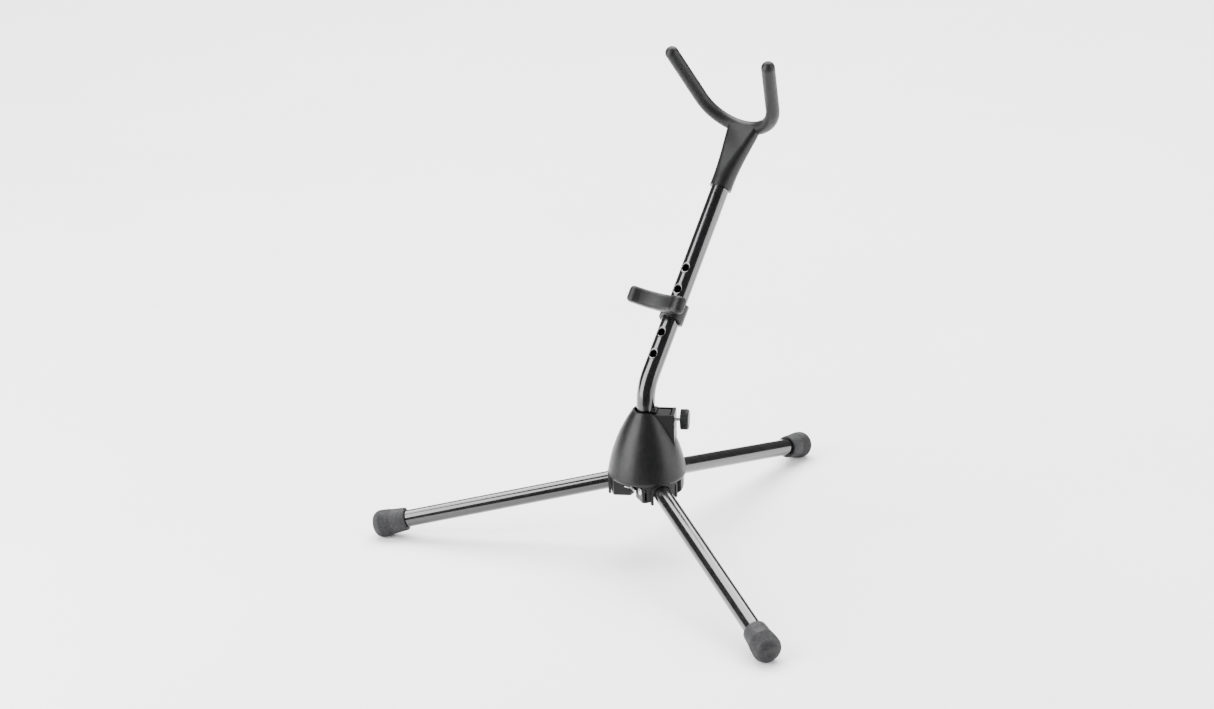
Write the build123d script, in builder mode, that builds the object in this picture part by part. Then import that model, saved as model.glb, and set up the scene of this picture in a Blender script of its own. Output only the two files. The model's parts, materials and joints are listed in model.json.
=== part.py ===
from build123d import *
from math import cos, radians, sin, tan
import os

# A three-legged floor stand for an alto or tenor saxophone.
# The origin is on the hub's upright axis at floor level, +Z is up and the mast leans back towards +Y.

# Legs
LEG_AZIMUTHS = {"rear": 90.0, "left": 210.0, "right": 330.0}
LEG_SLOPE = 13.69
LEG_AXIS_HEIGHT = 82.3
LEG_DIAMETER = 18.0
LEG_WALL = 1.5
LEG_TUBE_START = 37.6
LEG_TUBE_END = 292.0
PIVOT_RADIUS = 28.0
PIN_DIAMETER = 5.0
PIN_HALF_LENGTH = 18.2
PIN_HEAD_RADIUS = 3.9
PIN_HEAD_THICKNESS = 1.3
SPACER_RADIUS = 5.4
SPACER_GAP = 0.3
PIN_HEAD_SIDES = {"rear": -1, "left": 1, "right": 1}
EYE_RADIUS = 8.6
EYE_HALF_WIDTH = 7.0
KNUCKLE_HEIGHT = 11.0
KNUCKLE_COLLAR = 1.4
KNUCKLE_PLUG_LENGTH = 16.0
LEG_SLOT_HALF_WIDTH = 9.6
LEG_CLEARANCE_RADIUS = 9.6
PASSAGE_START = 19.0
KNUCKLE_ROOM = 17.0

# Rubber feet, measured along the leg from the hub axis
FOOT_START = 263.3
FOOT_WIDEST = 287.8
FOOT_END = 300.0
FOOT_MOUTH_RADIUS = 12.1
FOOT_WIDEST_RADIUS = 14.43
FOOT_FACE_RADIUS = 9.0
FOOT_GROOVES = 6
FOOT_GROOVE_PITCH = 1.4
FOOT_GROOVE_DEPTH = 0.45
FOOT_GROOVE_WIDTH = 0.6

# Hub cover: the bell, and the hood round each leg
COVER_TOP = 152.0
COVER_TOP_RADIUS = 13.8
COVER_MOUTH_RADIUS = 11.7
COVER_MIDDLE = (32.4, 116.5)
COVER_WIDEST = (40.3, 85.5)
COVER_LIP_MIDDLE = (40.1, 83.7)
COVER_RIM = (39.2, 82.0)
COVER_WALL = 2.2
HOOD_RADIUS = 12.2
HOOD_REACH = 40.7
HOOD_BOTTOM = 62.5

# Hub core
TOWER_RADIUS = 37.8
TOWER_HALF_WIDTH = 19.5
TOWER_BOTTOM = 64.0
TOWER_TOP = 84.0
ROOF_TOP = 90.0
INNER_WALL_RADIUS = 22.0
INNER_WALL_BOTTOM = 65.0
CHEEK_THICKNESS = 1.8
CHEEK_SLOT_HEIGHT = 13.0
BOSS_RADIUS = 13.5
BOSS_TOP = 146.0
CUP_BORE_RADIUS = 11.9
CUP_BORE_BOTTOM = 84.7
CUP_HEIGHT = 36.0
CUP_GAP = 0.3
RIB_HALF_THICKNESS = 1.3

# The spring that holds the cover, with the points of one arm as radius and height
SPRING_HEIGHT = 62.5
SPRING_THICKNESS = 1.0
SPRING_ARM_WIDTH = 6.0
SPRING_ARM = ((24.5, 71.5), (32.5, 79.4), (35.3, 78.2))
SPRING_AZIMUTHS = (30.0, 150.0, 270.0)
SPRING_CHANNEL_TOP = 81.0
SPRING_DISC_RADIUS = 11.0
CENTRE_WASHER_RADIUS = 6.0
CENTRE_WASHER_THICKNESS = 1.0
CENTRE_SCREW_DIAMETER = 5.0
CENTRE_SCREW_LENGTH = 18.0
CENTRE_SCREW_HEAD_RADIUS = 4.75
CENTRE_SCREW_HEAD_HEIGHT = 3.0

# Clamp: the box on the hub's side, its jaw, screw and knob
CLAMP_AZIMUTH = 30.0
CLAMP_HALF_WIDTH = 11.6
CLAMP_REACH = 30.0
CLAMP_TOP = 150.2
CLAMP_BOTTOM = 112.0
CLAMP_WALL = 1.8
CLAMP_END_WALL = 3.5
JAW_FLOOR = 126.0
JAW_TOP = 149.2
JAW_HALF_WIDTH = 9.4
JAW_START = 4.0
JAW_END = 25.0
JAW_LIP_START = 6.6
JAW_LIP_WIDTH = 4.8
JAW_SCREW_SLOT_START = 19.6
JAW_HEAD_SLOT_START = 16.6
SCREW_HEIGHT = 142.0
SCREW_DIAMETER = 4.0
SCREW_START = 17.0
SCREW_HEAD_RADIUS = 4.0
SCREW_HEAD_THICKNESS = 2.3
SCREW_GAP = 0.3
NUT_WIDTH = 8.0
NUT_THICKNESS = 2.6
KNOB_START = 35.5
KNOB_LENGTH = 10.0
KNOB_DIAMETER = 21.3
KNOB_NOTCHES = 36
KNOB_NOTCH_RADIUS = 0.75
KNOB_CROWN_HEIGHT = 2.6
LIP_TOP = 152.5

# Mast: a tube that stands upright in the hub, bends and leans back
MAST_DIAMETER = 19.0
MAST_WALL = 1.5
MAST_LEAN = 37.23
MAST_FOOT = 88.3
PLUG_FLANGE = 1.6
PLUG_LENGTH = 12.0
PLUG_WALL = 2.0
MAST_BEND_CORNER = 175.35
MAST_BEND_TANGENT = 16.0
MAST_DATUM = (0.0, 18.73, 200.0)
MAST_TUBE_TOP = 213.0
HOLE_PITCH = 23.75
HOLE_MIDDLE = 51.2
HOLE_DIAMETER = 8.6
HOLE_FLARE_DIAMETER = 12.4

# Lower rest, measured along the leaning mast
COLLAR_BOTTOM = 41.3
COLLAR_FRONT_BOTTOM = 47.6
COLLAR_TOP = 62.6
COLLAR_INNER_RADIUS = 9.9
COLLAR_OUTER_RADIUS = 13.1
REST_CENTRE = 52.6
REST_HEIGHT = 17.0
REST_THICKNESS = 13.6
REST_HALF_SPAN = 27.5
REST_TIP_FORWARD = 36.5
REST_MIDDLE_FORWARD = 29.0

# Fork, in a plane that tips forward through the top of the mast
FORK_BOTTOM = (0.0, 181.7, 405.4)
FORK_TILT = 30.0
FORK_ARC_RADIUS = 46.0
FORK_ARC_ANGLE = 76.0
FORK_ARM_LENGTH = 61.0
FORK_SLEEVE_DIAMETER = 14.2
FORK_ROD_DIAMETER = 9.0
SOCKET_BOTTOM = 191.0
STUD_START = 198.0
STUD_SHOULDER = 222.0
STUD_END = 261.0
STUD_NECK_RADIUS = 3.0
STUD_NECK_FORWARD = -3.6

# The socket's sections: height along the mast, forward shift, width, depth and corner radius
SOCKET_SECTIONS = (
    (191.0, 0.0, 23.5, 23.5, 11.6),
    (208.0, 0.0, 24.0, 21.5, 10.5),
    (232.0, -0.8, 29.0, 17.0, 7.5),
    (262.0, -2.0, 39.0, 11.5, 5.0),
)

os.makedirs("parts", exist_ok=True)


def finish(builder, name):
    """Label a finished piece and write its file."""
    builder.part.label = name
    export_step(builder.part, f"parts/{name}.step")


def radial_plane(azimuth):
    """The upright plane through the hub axis: x runs outwards at the azimuth and y runs up."""
    turn = radians(azimuth)
    return Plane(origin=(0, 0, 0), x_dir=(cos(turn), sin(turn), 0), z_dir=(sin(turn), -cos(turn), 0))


def leg_direction(azimuth):
    """The way a leg runs, from the hub outwards and down."""
    turn = radians(azimuth)
    slope = radians(LEG_SLOPE)
    return Vector(cos(turn) * cos(slope), sin(turn) * cos(slope), -sin(slope))


def leg_plane(azimuth):
    """The upright plane through a leg: x runs along the leg from the hub axis and y is square to it."""
    turn = radians(azimuth)
    return Plane(
        origin=(0, 0, LEG_AXIS_HEIGHT),
        x_dir=leg_direction(azimuth),
        z_dir=(sin(turn), -cos(turn), 0),
    )


def leg_axis(azimuth):
    """The centre line of a leg tube."""
    return Axis((0, 0, LEG_AXIS_HEIGHT), leg_direction(azimuth))


def clamp_plane(distance):
    """A plane across the clamp, square to its screw: y runs up and the origin is on the screw axis."""
    turn = radians(CLAMP_AZIMUTH)
    outwards = Vector(cos(turn), sin(turn), 0)
    return Plane(
        origin=outwards * distance + Vector(0, 0, SCREW_HEIGHT),
        x_dir=(-sin(turn), cos(turn), 0),
        z_dir=outwards,
    )


LEAN = radians(MAST_LEAN)
MAST_DIRECTION = Vector(0, sin(LEAN), cos(LEAN))
MAST_FORWARD = Vector(0, -cos(LEAN), sin(LEAN))


def mast_point(along, forward=0.0):
    """A point beside the leaning mast: along it from its datum, and forward of its centre line."""
    return Vector(*MAST_DATUM) + MAST_DIRECTION * along + MAST_FORWARD * forward


def mast_plane(along, forward=0.0):
    """A plane across the leaning mast: y points forward."""
    return Plane(origin=mast_point(along, forward), x_dir=(-1, 0, 0), z_dir=MAST_DIRECTION)


def mast_side_plane(side=0.0):
    """The upright plane through the leaning mast: x points forward and y runs up along the mast."""
    return Plane(origin=mast_point(0) + Vector(side, 0, 0), x_dir=MAST_FORWARD, z_dir=(-1, 0, 0))


PIVOT_ALONG = PIVOT_RADIUS / cos(radians(LEG_SLOPE))
LEG_RADIUS = LEG_DIAMETER / 2
MAST_RADIUS = MAST_DIAMETER / 2


def cut_leg_passages(clearance):
    """Cut the room that the three legs need, from lying open to folded straight down."""
    for azimuth in LEG_AZIMUTHS.values():
        side_plane = leg_plane(azimuth)
        with BuildSketch(side_plane) as knuckle_room:
            with Locations((PASSAGE_START, LEG_CLEARANCE_RADIUS - 0.2)):
                Rectangle(KNUCKLE_ROOM, 60, align=(Align.MIN, Align.MAX))
        extrude(knuckle_room.sketch, amount=LEG_SLOT_HALF_WIDTH, both=True, mode=Mode.SUBTRACT)
        arch_start = side_plane.from_local_coords((PASSAGE_START + KNUCKLE_ROOM - 2, 0, 0))
        arch_plane = Plane(origin=arch_start, x_dir=side_plane.z_dir, z_dir=side_plane.x_dir)
        with BuildSketch(arch_plane) as arch:
            Circle(clearance)
            Rectangle(2 * clearance, 60, align=(Align.CENTER, Align.MIN))
        extrude(arch.sketch, amount=40, mode=Mode.SUBTRACT)


# ---------------------------------------------------------------- legs

for leg_name, azimuth in LEG_AZIMUTHS.items():
    with BuildPart() as leg_tube:
        with BuildSketch(leg_plane(azimuth)):
            with Locations((LEG_TUBE_START, LEG_RADIUS - LEG_WALL)):
                Rectangle(LEG_TUBE_END - LEG_TUBE_START, LEG_WALL, align=(Align.MIN, Align.MIN))
        revolve(axis=leg_axis(azimuth))
    finish(leg_tube, f"leg_tube_{leg_name}")

    # The knuckle plugs into the tube's inner end and turns on the pin.
    with BuildPart() as leg_knuckle:
        with BuildSketch(leg_plane(azimuth)):
            with Locations((PIVOT_ALONG, 0)):
                Circle(EYE_RADIUS)
                Rectangle(LEG_TUBE_START - PIVOT_ALONG, KNUCKLE_HEIGHT, align=(Align.MIN, Align.CENTER))
        extrude(amount=EYE_HALF_WIDTH, both=True)
        with BuildSketch(leg_plane(azimuth)):
            with Locations((LEG_TUBE_START - KNUCKLE_COLLAR, 0)):
                Rectangle(KNUCKLE_COLLAR, LEG_RADIUS, align=(Align.MIN, Align.MIN))
            with Locations((LEG_TUBE_START, 0)):
                Rectangle(KNUCKLE_PLUG_LENGTH, LEG_RADIUS - LEG_WALL, align=(Align.MIN, Align.MIN))
        revolve(axis=leg_axis(azimuth))
        with BuildSketch(leg_plane(azimuth)):
            with Locations((PIVOT_ALONG, 0)):
                Circle(PIN_DIAMETER / 2 + 0.05)
        extrude(amount=EYE_HALF_WIDTH, both=True, mode=Mode.SUBTRACT)
    finish(leg_knuckle, f"leg_knuckle_{leg_name}")

    # The hinge pin crosses both cheeks of its tower, with a low head on one side.
    head_side = PIN_HEAD_SIDES[leg_name]
    with BuildPart() as leg_pin:
        with BuildSketch(leg_plane(azimuth).offset(-head_side * PIN_HALF_LENGTH)):
            with Locations((PIVOT_ALONG, 0)):
                Circle(PIN_DIAMETER / 2)
        extrude(amount=head_side * (PIN_HALF_LENGTH + TOWER_HALF_WIDTH))
        with BuildSketch(leg_plane(azimuth).offset(head_side * TOWER_HALF_WIDTH)):
            with Locations((PIVOT_ALONG, 0)):
                Circle(PIN_HEAD_RADIUS)
        extrude(amount=head_side * PIN_HEAD_THICKNESS)
        head_rims = leg_pin.edges().filter_by(GeomType.CIRCLE).sort_by(SortBy.RADIUS)[-2:]
        fillet(head_rims, radius=0.5)
    finish(leg_pin, f"leg_pin_{leg_name}")

    # Two spacer washers fill the room between the knuckle and the cheeks.
    with BuildPart() as leg_spacers:
        for side in (-1, 1):
            inner_face = side * (EYE_HALF_WIDTH + SPACER_GAP)
            with BuildSketch(leg_plane(azimuth).offset(inner_face)):
                with Locations((PIVOT_ALONG, 0)):
                    Circle(SPACER_RADIUS)
                    Circle(PIN_DIAMETER / 2, mode=Mode.SUBTRACT)
            extrude(amount=side * (LEG_SLOT_HALF_WIDTH - EYE_HALF_WIDTH - SPACER_GAP))
    finish(leg_spacers, f"leg_spacers_{leg_name}")

    # A rubber foot: a tapered sleeve with a rounded end, ringed by fine grooves, and a worn flat below.
    shoulder_radius = FOOT_WIDEST_RADIUS - FOOT_FACE_RADIUS * 0.55
    shoulder_centre = FOOT_END - shoulder_radius
    with BuildPart() as foot:
        with BuildSketch(leg_plane(azimuth)):
            with BuildLine():
                Polyline(
                    (FOOT_END, FOOT_WIDEST_RADIUS - shoulder_radius),
                    (FOOT_END, 0),
                    (LEG_TUBE_END, 0),
                    (LEG_TUBE_END, LEG_RADIUS),
                    (FOOT_START, LEG_RADIUS),
                    (FOOT_START, FOOT_MOUTH_RADIUS - 1.2),
                )
                RadiusArc(
                    (FOOT_START, FOOT_MOUTH_RADIUS - 1.2),
                    (FOOT_START + 1.3, FOOT_MOUTH_RADIUS),
                    1.3,
                )
                Polyline(
                    (FOOT_START + 1.3, FOOT_MOUTH_RADIUS),
                    (FOOT_WIDEST, FOOT_WIDEST_RADIUS),
                    (shoulder_centre, FOOT_WIDEST_RADIUS),
                )
                CenterArc(
                    (shoulder_centre, FOOT_WIDEST_RADIUS - shoulder_radius),
                    shoulder_radius,
                    0,
                    90,
                )
            make_face()
            for groove in range(FOOT_GROOVES):
                groove_along = FOOT_WIDEST - 4.6 + groove * FOOT_GROOVE_PITCH
                taper = max(0.0, FOOT_WIDEST - groove_along) / (FOOT_WIDEST - FOOT_START)
                groove_radius = FOOT_WIDEST_RADIUS - taper * (FOOT_WIDEST_RADIUS - FOOT_MOUTH_RADIUS)
                with Locations((groove_along, groove_radius)):
                    Rectangle(FOOT_GROOVE_WIDTH, 2 * FOOT_GROOVE_DEPTH, mode=Mode.SUBTRACT)
        revolve(axis=leg_axis(azimuth))
        with BuildSketch(Plane.XY):
            Rectangle(700, 700)
        extrude(amount=-10, mode=Mode.SUBTRACT)
    finish(foot, f"foot_{leg_name}")

# ---------------------------------------------------------------- hub core

with BuildPart() as hub_core:
    for azimuth in LEG_AZIMUTHS.values():
        with BuildSketch(radial_plane(azimuth)):
            with BuildLine():
                Polyline(
                    (4, TOWER_TOP),
                    (4, TOWER_BOTTOM + 4),
                    (14, TOWER_BOTTOM),
                    (TOWER_RADIUS - 3.5, TOWER_BOTTOM),
                    (TOWER_RADIUS + 2, TOWER_BOTTOM + 5.5),
                    (TOWER_RADIUS + 2, TOWER_TOP),
                    close=True,
                )
            make_face()
        extrude(amount=TOWER_HALF_WIDTH, both=True)

    # A shorter tower stands under the clamp.
    with BuildSketch(radial_plane(CLAMP_AZIMUTH)):
        with BuildLine():
            Polyline(
                (10, TOWER_TOP),
                (10, TOWER_BOTTOM),
                (TOWER_RADIUS - 6.3, TOWER_BOTTOM),
                (TOWER_RADIUS - 0.4, TOWER_BOTTOM + 4.5),
                (TOWER_RADIUS - 0.4, TOWER_TOP),
                close=True,
            )
        make_face()
    extrude(amount=CLAMP_HALF_WIDTH, both=True)
    with BuildSketch(Plane.XY.offset(TOWER_BOTTOM)):
        Circle(TOWER_RADIUS)
    extrude(amount=TOWER_TOP - TOWER_BOTTOM, mode=Mode.INTERSECT)

    # The windows between the towers stop at a round inner wall.
    with BuildSketch(Plane.XY.offset(INNER_WALL_BOTTOM)):
        Circle(INNER_WALL_RADIUS)
    extrude(amount=ROOF_TOP - INNER_WALL_BOTTOM)

    # The roof carries the boss that the mast stands in.
    with BuildSketch(Plane.XY.offset(TOWER_TOP - 2)):
        Circle(TOWER_RADIUS - 1.6)
    extrude(amount=ROOF_TOP - TOWER_TOP + 2)
    with BuildSketch(Plane.XY.offset(TOWER_BOTTOM - 0.5)):
        Circle(BOSS_RADIUS)
    extrude(amount=BOSS_TOP - TOWER_BOTTOM + 0.5)

    # Ribs brace the boss over the legs.
    for azimuth in LEG_AZIMUTHS.values():
        with BuildSketch(radial_plane(azimuth)):
            with BuildLine():
                Polyline(
                    (BOSS_RADIUS - 1, ROOF_TOP - 1),
                    (TOWER_RADIUS - 4, ROOF_TOP - 1),
                    (2 * BOSS_RADIUS, CLAMP_BOTTOM),
                    (BOSS_RADIUS + 2.5, BOSS_TOP - 12),
                    (BOSS_RADIUS - 1, BOSS_TOP - 12),
                    close=True,
                )
            make_face()
        extrude(amount=RIB_HALF_THICKNESS, both=True)

    # The clamp box.
    with BuildSketch(radial_plane(CLAMP_AZIMUTH)):
        with Locations((4, CLAMP_BOTTOM)):
            Rectangle(CLAMP_REACH - 4, CLAMP_TOP - CLAMP_BOTTOM, align=(Align.MIN, Align.MIN))
    extrude(amount=CLAMP_HALF_WIDTH, both=True)

    # The jaw's chamber, open at the top.
    with BuildSketch(radial_plane(CLAMP_AZIMUTH)):
        with Locations((3.5, JAW_FLOOR - 0.3)):
            Rectangle(CLAMP_REACH - CLAMP_END_WALL - 3.5, 60, align=(Align.MIN, Align.MIN))
    extrude(amount=CLAMP_HALF_WIDTH - CLAMP_WALL, both=True, mode=Mode.SUBTRACT)

    # The mast bore, closed below.
    with BuildSketch(Plane.XY.offset(CUP_BORE_BOTTOM)):
        Circle(CUP_BORE_RADIUS)
    extrude(amount=100, mode=Mode.SUBTRACT)

    # The screw's hole and the nut's pocket in the end wall.
    with BuildSketch(clamp_plane(CLAMP_REACH - CLAMP_END_WALL - 1)):
        Circle(SCREW_DIAMETER / 2 + SCREW_GAP)
    extrude(amount=CLAMP_END_WALL + 2, mode=Mode.SUBTRACT)
    with BuildSketch(clamp_plane(CLAMP_REACH - CLAMP_END_WALL)):
        Rectangle(NUT_WIDTH, NUT_WIDTH)
    extrude(amount=NUT_THICKNESS, mode=Mode.SUBTRACT)

    # Channels for the spring's three arms.
    for azimuth in SPRING_AZIMUTHS:
        with BuildSketch(radial_plane(azimuth)):
            with Locations((BOSS_RADIUS + 1, SPRING_CHANNEL_TOP)):
                Rectangle(TOWER_RADIUS - BOSS_RADIUS - 3, 40, align=(Align.MIN, Align.MAX))
        extrude(amount=SPRING_ARM_WIDTH / 2 + 0.6, both=True, mode=Mode.SUBTRACT)

    # Dark slots beside each cheek lighten the towers.
    for azimuth in LEG_AZIMUTHS.values():
        for side in (-1, 1):
            with BuildSketch(radial_plane(azimuth).offset(side * (TOWER_HALF_WIDTH - 3.1))):
                with Locations((30, TOWER_BOTTOM + 2)):
                    Rectangle(12, CHEEK_SLOT_HEIGHT, align=(Align.MIN, Align.MIN))
            extrude(amount=CHEEK_THICKNESS / 2, both=True, mode=Mode.SUBTRACT)

    # Room for the legs, and the holes for their pins and for the centre screw.
    cut_leg_passages(LEG_CLEARANCE_RADIUS)
    for leg_name, azimuth in LEG_AZIMUTHS.items():
        head_side = PIN_HEAD_SIDES[leg_name]
        with BuildSketch(leg_plane(azimuth).offset(-head_side * PIN_HALF_LENGTH)):
            with Locations((PIVOT_ALONG, 0)):
                Circle(PIN_DIAMETER / 2 + 0.02)
        extrude(amount=head_side * (PIN_HALF_LENGTH + TOWER_HALF_WIDTH), mode=Mode.SUBTRACT)
    with BuildSketch(Plane.XY.offset(TOWER_BOTTOM - 1)):
        Circle(CENTRE_SCREW_DIAMETER / 2)
    extrude(amount=CENTRE_SCREW_LENGTH, mode=Mode.SUBTRACT)
finish(hub_core, "hub_core")

# A split liner at the top of the bore guides the mast; it is open towards the jaw.
with BuildPart() as bore_liner:
    with BuildSketch(Plane.XY.offset(JAW_FLOOR + 2)):
        Circle(CUP_BORE_RADIUS)
        Circle(MAST_RADIUS + 0.35, mode=Mode.SUBTRACT)
        turn = radians(CLAMP_AZIMUTH)
        with Locations(Location((12 * cos(turn), 12 * sin(turn)), CLAMP_AZIMUTH)):
            Rectangle(17, 30, mode=Mode.SUBTRACT)
    extrude(amount=BOSS_TOP - JAW_FLOOR - 2)
finish(bore_liner, "bore_liner")

# ---------------------------------------------------------------- hub cover

with BuildPart() as hub_cover:
    with BuildSketch(Plane.XZ):
        with BuildLine():
            Polyline((0, COVER_RIM[1]), (0, COVER_TOP), (COVER_TOP_RADIUS, COVER_TOP))
            ThreePointArc((COVER_TOP_RADIUS, COVER_TOP), COVER_MIDDLE, COVER_WIDEST)
            ThreePointArc(COVER_WIDEST, COVER_LIP_MIDDLE, COVER_RIM)
            Line(COVER_RIM, (0, COVER_RIM[1]))
        make_face()
    revolve(axis=Axis.Z)

    # A raised hood frames each leg opening and runs down beside the leg.
    for azimuth in LEG_AZIMUTHS.values():
        side_plane = leg_plane(azimuth)
        hood_start = side_plane.from_local_coords((COVER_WIDEST[0] - 9, 0, 0))
        with BuildSketch(Plane(origin=hood_start, x_dir=side_plane.z_dir, z_dir=side_plane.x_dir)):
            Circle(HOOD_RADIUS)
            Rectangle(2 * HOOD_RADIUS, 30, align=(Align.CENTER, Align.MIN))
        extrude(amount=16)
    with BuildSketch(Plane.XY.offset(HOOD_BOTTOM)):
        Circle(HOOD_REACH)
    extrude(amount=COVER_TOP - HOOD_BOTTOM + 1, mode=Mode.INTERSECT)

    # The hollow inside, and the mast's mouth at the top.
    with BuildSketch(Plane.XZ):
        with BuildLine():
            Polyline(
                (0, 50),
                (COVER_WIDEST[0] - COVER_WALL, 50),
                (COVER_WIDEST[0] - COVER_WALL, COVER_WIDEST[1]),
            )
            ThreePointArc(
                (COVER_WIDEST[0] - COVER_WALL, COVER_WIDEST[1]),
                (COVER_MIDDLE[0] - 2.0, COVER_MIDDLE[1] - 0.9),
                (COVER_MOUTH_RADIUS + 0.2, COVER_TOP - 2.0),
            )
            Polyline(
                (COVER_MOUTH_RADIUS + 0.2, COVER_TOP - 2.0),
                (COVER_MOUTH_RADIUS, COVER_TOP - 2.0),
                (COVER_MOUTH_RADIUS, COVER_TOP + 1),
                (0, COVER_TOP + 1),
                (0, 50),
            )
        make_face()
    revolve(axis=Axis.Z, mode=Mode.SUBTRACT)

    # Openings for the legs and for the clamp box.
    cut_leg_passages(LEG_CLEARANCE_RADIUS + 0.2)
    with BuildSketch(radial_plane(CLAMP_AZIMUTH)):
        with Locations((0, CLAMP_BOTTOM - 0.3)):
            Rectangle(CLAMP_REACH + 0.3, 70, align=(Align.MIN, Align.MIN))
    extrude(amount=CLAMP_HALF_WIDTH + 0.3, both=True, mode=Mode.SUBTRACT)
finish(hub_cover, "hub_cover")

# A spring with three arms holds the cover: each arm rises through a window and bends over behind the rim.
with BuildPart() as cover_spring:
    with BuildSketch(Plane.XY.offset(SPRING_HEIGHT)):
        Circle(SPRING_DISC_RADIUS)
    extrude(amount=SPRING_THICKNESS)
    for azimuth in SPRING_AZIMUTHS:
        with BuildSketch(radial_plane(azimuth)):
            with BuildLine():
                FilletPolyline(
                    (8, SPRING_HEIGHT + SPRING_THICKNESS / 2),
                    (15.5, SPRING_HEIGHT + SPRING_THICKNESS / 2),
                    *SPRING_ARM,
                    radius=2.0,
                )
            trace(line_width=SPRING_THICKNESS)
        extrude(amount=SPRING_ARM_WIDTH / 2, both=True)
    with BuildSketch(Plane.XY.offset(SPRING_HEIGHT - 1)):
        Circle(CENTRE_SCREW_DIAMETER / 2)
    extrude(amount=3, mode=Mode.SUBTRACT)
finish(cover_spring, "cover_spring")

with BuildPart() as centre_washer:
    with BuildSketch(Plane.XY.offset(SPRING_HEIGHT - CENTRE_WASHER_THICKNESS)):
        Circle(CENTRE_WASHER_RADIUS)
        Circle(CENTRE_SCREW_DIAMETER / 2, mode=Mode.SUBTRACT)
    extrude(amount=CENTRE_WASHER_THICKNESS)
finish(centre_washer, "centre_washer")

with BuildPart() as centre_screw:
    head_top = Plane.XY.offset(SPRING_HEIGHT - CENTRE_WASHER_THICKNESS)
    with BuildSketch(head_top):
        Circle(CENTRE_SCREW_DIAMETER / 2)
    extrude(amount=CENTRE_SCREW_LENGTH)
    with BuildSketch(head_top):
        Circle(CENTRE_SCREW_HEAD_RADIUS)
    extrude(amount=-CENTRE_SCREW_HEAD_HEIGHT)
    fillet(centre_screw.edges().group_by(Axis.Z)[0], radius=1.2)
    with BuildSketch(head_top.offset(-CENTRE_SCREW_HEAD_HEIGHT)):
        Rectangle(5.4, 1.2)
        Rectangle(1.2, 5.4)
    extrude(amount=1.6, mode=Mode.SUBTRACT)
finish(centre_screw, "centre_screw")

# ---------------------------------------------------------------- mast

# The mast stands in this cup, and the two turn in the bore together.
with BuildPart() as swivel_cup:
    with BuildSketch(Plane.XY.offset(CUP_BORE_BOTTOM + CUP_GAP)):
        Circle(CUP_BORE_RADIUS - CUP_GAP)
    extrude(amount=CUP_HEIGHT)
    with BuildSketch(Plane.XY.offset(MAST_FOOT - CUP_GAP)):
        Circle(MAST_RADIUS + CUP_GAP)
    extrude(amount=CUP_HEIGHT, mode=Mode.SUBTRACT)
finish(swivel_cup, "swivel_cup")

with BuildPart() as mast_end_plug:
    with BuildSketch(Plane.XY.offset(MAST_FOOT)):
        Circle(MAST_RADIUS)
    extrude(amount=PLUG_FLANGE)
    with BuildSketch(Plane.XY.offset(MAST_FOOT + PLUG_FLANGE)):
        Circle(MAST_RADIUS - MAST_WALL)
    extrude(amount=PLUG_LENGTH)
    with BuildSketch(Plane.XY.offset(MAST_FOOT + PLUG_FLANGE + PLUG_WALL)):
        Circle(MAST_RADIUS - MAST_WALL - PLUG_WALL)
    extrude(amount=PLUG_LENGTH, mode=Mode.SUBTRACT)
finish(mast_end_plug, "mast_end_plug")

with BuildPart() as mast_tube:
    tube_top = mast_point(MAST_TUBE_TOP)
    with BuildLine(Plane.YZ):
        FilletPolyline(
            (0, MAST_FOOT + PLUG_FLANGE),
            (0, MAST_BEND_CORNER),
            (tube_top.Y, tube_top.Z),
            radius=MAST_BEND_TANGENT / tan(LEAN / 2),
        )
    with BuildSketch(Plane.XY.offset(MAST_FOOT + PLUG_FLANGE)):
        Circle(MAST_RADIUS)
        Circle(MAST_RADIUS - MAST_WALL, mode=Mode.SUBTRACT)
    sweep()

    # Five countersunk holes down the front, for the rest's snap peg.
    for step in range(-2, 3):
        hole_along = HOLE_MIDDLE + step * HOLE_PITCH
        hole_plane = Plane(origin=mast_point(hole_along), x_dir=(1, 0, 0), z_dir=MAST_FORWARD)
        hole_axis = Axis(mast_point(hole_along), MAST_FORWARD)
        flare_radius = HOLE_FLARE_DIAMETER / 2
        with BuildSketch(hole_plane.offset(4)):
            Circle(HOLE_DIAMETER / 2)
        extrude(amount=8, mode=Mode.SUBTRACT)
        with BuildSketch(mast_side_plane()):
            with BuildLine():
                Polyline(
                    (MAST_RADIUS - MAST_WALL, hole_along),
                    (MAST_RADIUS - MAST_WALL, hole_along + HOLE_DIAMETER / 2),
                    (MAST_RADIUS + 0.1, hole_along + flare_radius),
                    (MAST_RADIUS + 1, hole_along + flare_radius),
                    (MAST_RADIUS + 1, hole_along),
                    close=True,
                )
            make_face()
        revolve(axis=hole_axis, mode=Mode.SUBTRACT)
finish(mast_tube, "mast_tube")

# ---------------------------------------------------------------- fork

TILT = radians(FORK_TILT)
FORK_PLANE = Plane(origin=FORK_BOTTOM, x_dir=(1, 0, 0), z_dir=(0, -cos(TILT), -sin(TILT)))
SWEEP = radians(FORK_ARC_ANGLE)
BEND_END = (FORK_ARC_RADIUS * sin(SWEEP), FORK_ARC_RADIUS * (1 - cos(SWEEP)))
FORK_TIP = (BEND_END[0] + FORK_ARM_LENGTH * cos(SWEEP), BEND_END[1] + FORK_ARM_LENGTH * sin(SWEEP))


def fork_bar(diameter):
    """A round bar bent to the fork's shape, with square ends at the arms' tips."""
    with BuildPart() as bar:
        with BuildLine(FORK_PLANE) as fork_line:
            Line((-FORK_TIP[0], FORK_TIP[1]), (-BEND_END[0], BEND_END[1]))
            ThreePointArc((-BEND_END[0], BEND_END[1]), (0, 0), BEND_END)
            Line(BEND_END, FORK_TIP)
        with BuildSketch(Plane(origin=fork_line.line @ 0, z_dir=fork_line.line % 0)):
            Circle(diameter / 2)
        sweep()
    return bar.part


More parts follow.
